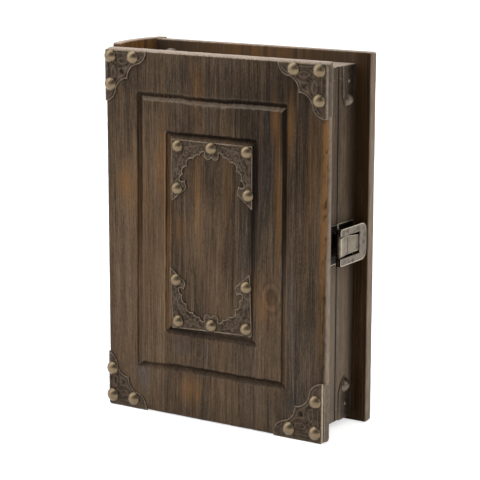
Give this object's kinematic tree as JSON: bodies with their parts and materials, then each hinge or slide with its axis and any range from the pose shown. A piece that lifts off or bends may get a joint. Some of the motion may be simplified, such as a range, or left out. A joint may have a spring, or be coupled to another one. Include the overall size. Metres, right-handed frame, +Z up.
{
  "type": "book box",
  "caption": "Hinged wooden keepsake box shaped like an old bound book, with a routed front cover, curved spine, metal corner plates, domed studs and a lever latch.",
  "frame": {"origin": "middle of the whole box's footprint, spine, covers and front studs included, at the level it stands on", "axes": "+Z up along the covers' height, -Y out of the front cover, +X towards the fore-edge with the latch, -X towards the curved spine"},
  "size_m": [0.193, 0.0752, 0.2722],
  "materials": {
    "cover_wood": "dark stained pine, satin",
    "rim_wood": "dark stained pine, matt",
    "plate_metal": "pressed sheet with a dark antique finish",
    "stud_metal": "antique brass, satin",
    "latch_metal": "antique bronze, satin",
    "hinge_metal": "antique brass"
  },
  "bodies": {
    "body": {"back_cover": "cover_wood", "spine_board": "cover_wood", "body_top_rail": "rim_wood", "body_bottom_rail": "rim_wood", "body_fore_rail": "rim_wood", "body_spine_rail": "rim_wood", "body_strap_top": "plate_metal", "body_strap_bottom": "plate_metal", "body_strap_studs": "stud_metal", "body_strap_nails": "stud_metal", "spine_strap_top": "plate_metal", "spine_strap_bottom": "plate_metal", "spine_strap_studs": "stud_metal", "upper_hinge_body_leaf": "hinge_metal", "upper_hinge_pin": "hinge_metal", "lower_hinge_body_leaf": "hinge_metal", "lower_hinge_pin": "hinge_metal", "hinge_body_screws": "hinge_metal", "latch_keeper": "latch_metal", "latch_keeper_nails": "stud_metal"},
    "lid": {"front_cover": "cover_wood", "lid_top_rail": "rim_wood", "lid_bottom_rail": "rim_wood", "lid_fore_rail": "rim_wood", "lid_spine_rail": "rim_wood", "corner_plate_top_left": "plate_metal", "corner_plate_top_right": "plate_metal", "corner_plate_bottom_left": "plate_metal", "corner_plate_bottom_right": "plate_metal", "corner_studs": "stud_metal", "centre_plate_upper": "plate_metal", "centre_plate_lower": "plate_metal", "centre_studs": "stud_metal", "lid_strap_top": "plate_metal", "lid_strap_bottom": "plate_metal", "lid_strap_studs": "stud_metal", "lid_strap_nails": "stud_metal", "upper_hinge_lid_leaf": "hinge_metal", "lower_hinge_lid_leaf": "hinge_metal", "hinge_lid_screws": "hinge_metal", "latch_base": "latch_metal", "latch_pin": "stud_metal", "latch_base_nails": "stud_metal"},
    "latch_lever": {"latch_lever": "latch_metal"},
    "latch_frame": {"latch_frame": "latch_metal"}
  },
  "joints": [
    {"name": "lid_hinge", "type": "hinge", "parent": "body", "child": "lid", "pos_m": [-0.0927, -0.0228, 0.135], "axis": [0, 0, -1], "range_deg": [0, 110]},
    {"name": "lever_pivot", "type": "hinge", "parent": "lid", "child": "latch_lever", "pos_m": [0.0921, -0.0038, 0.137], "axis": [0, 0, -1], "range_deg": [0, 75]},
    {"name": "frame_pivot", "type": "hinge", "parent": "latch_lever", "child": "latch_frame", "pos_m": [0.0927, -0.0082, 0.137], "axis": [0, 0, -1], "range_deg": [0, 45]}
  ]
}
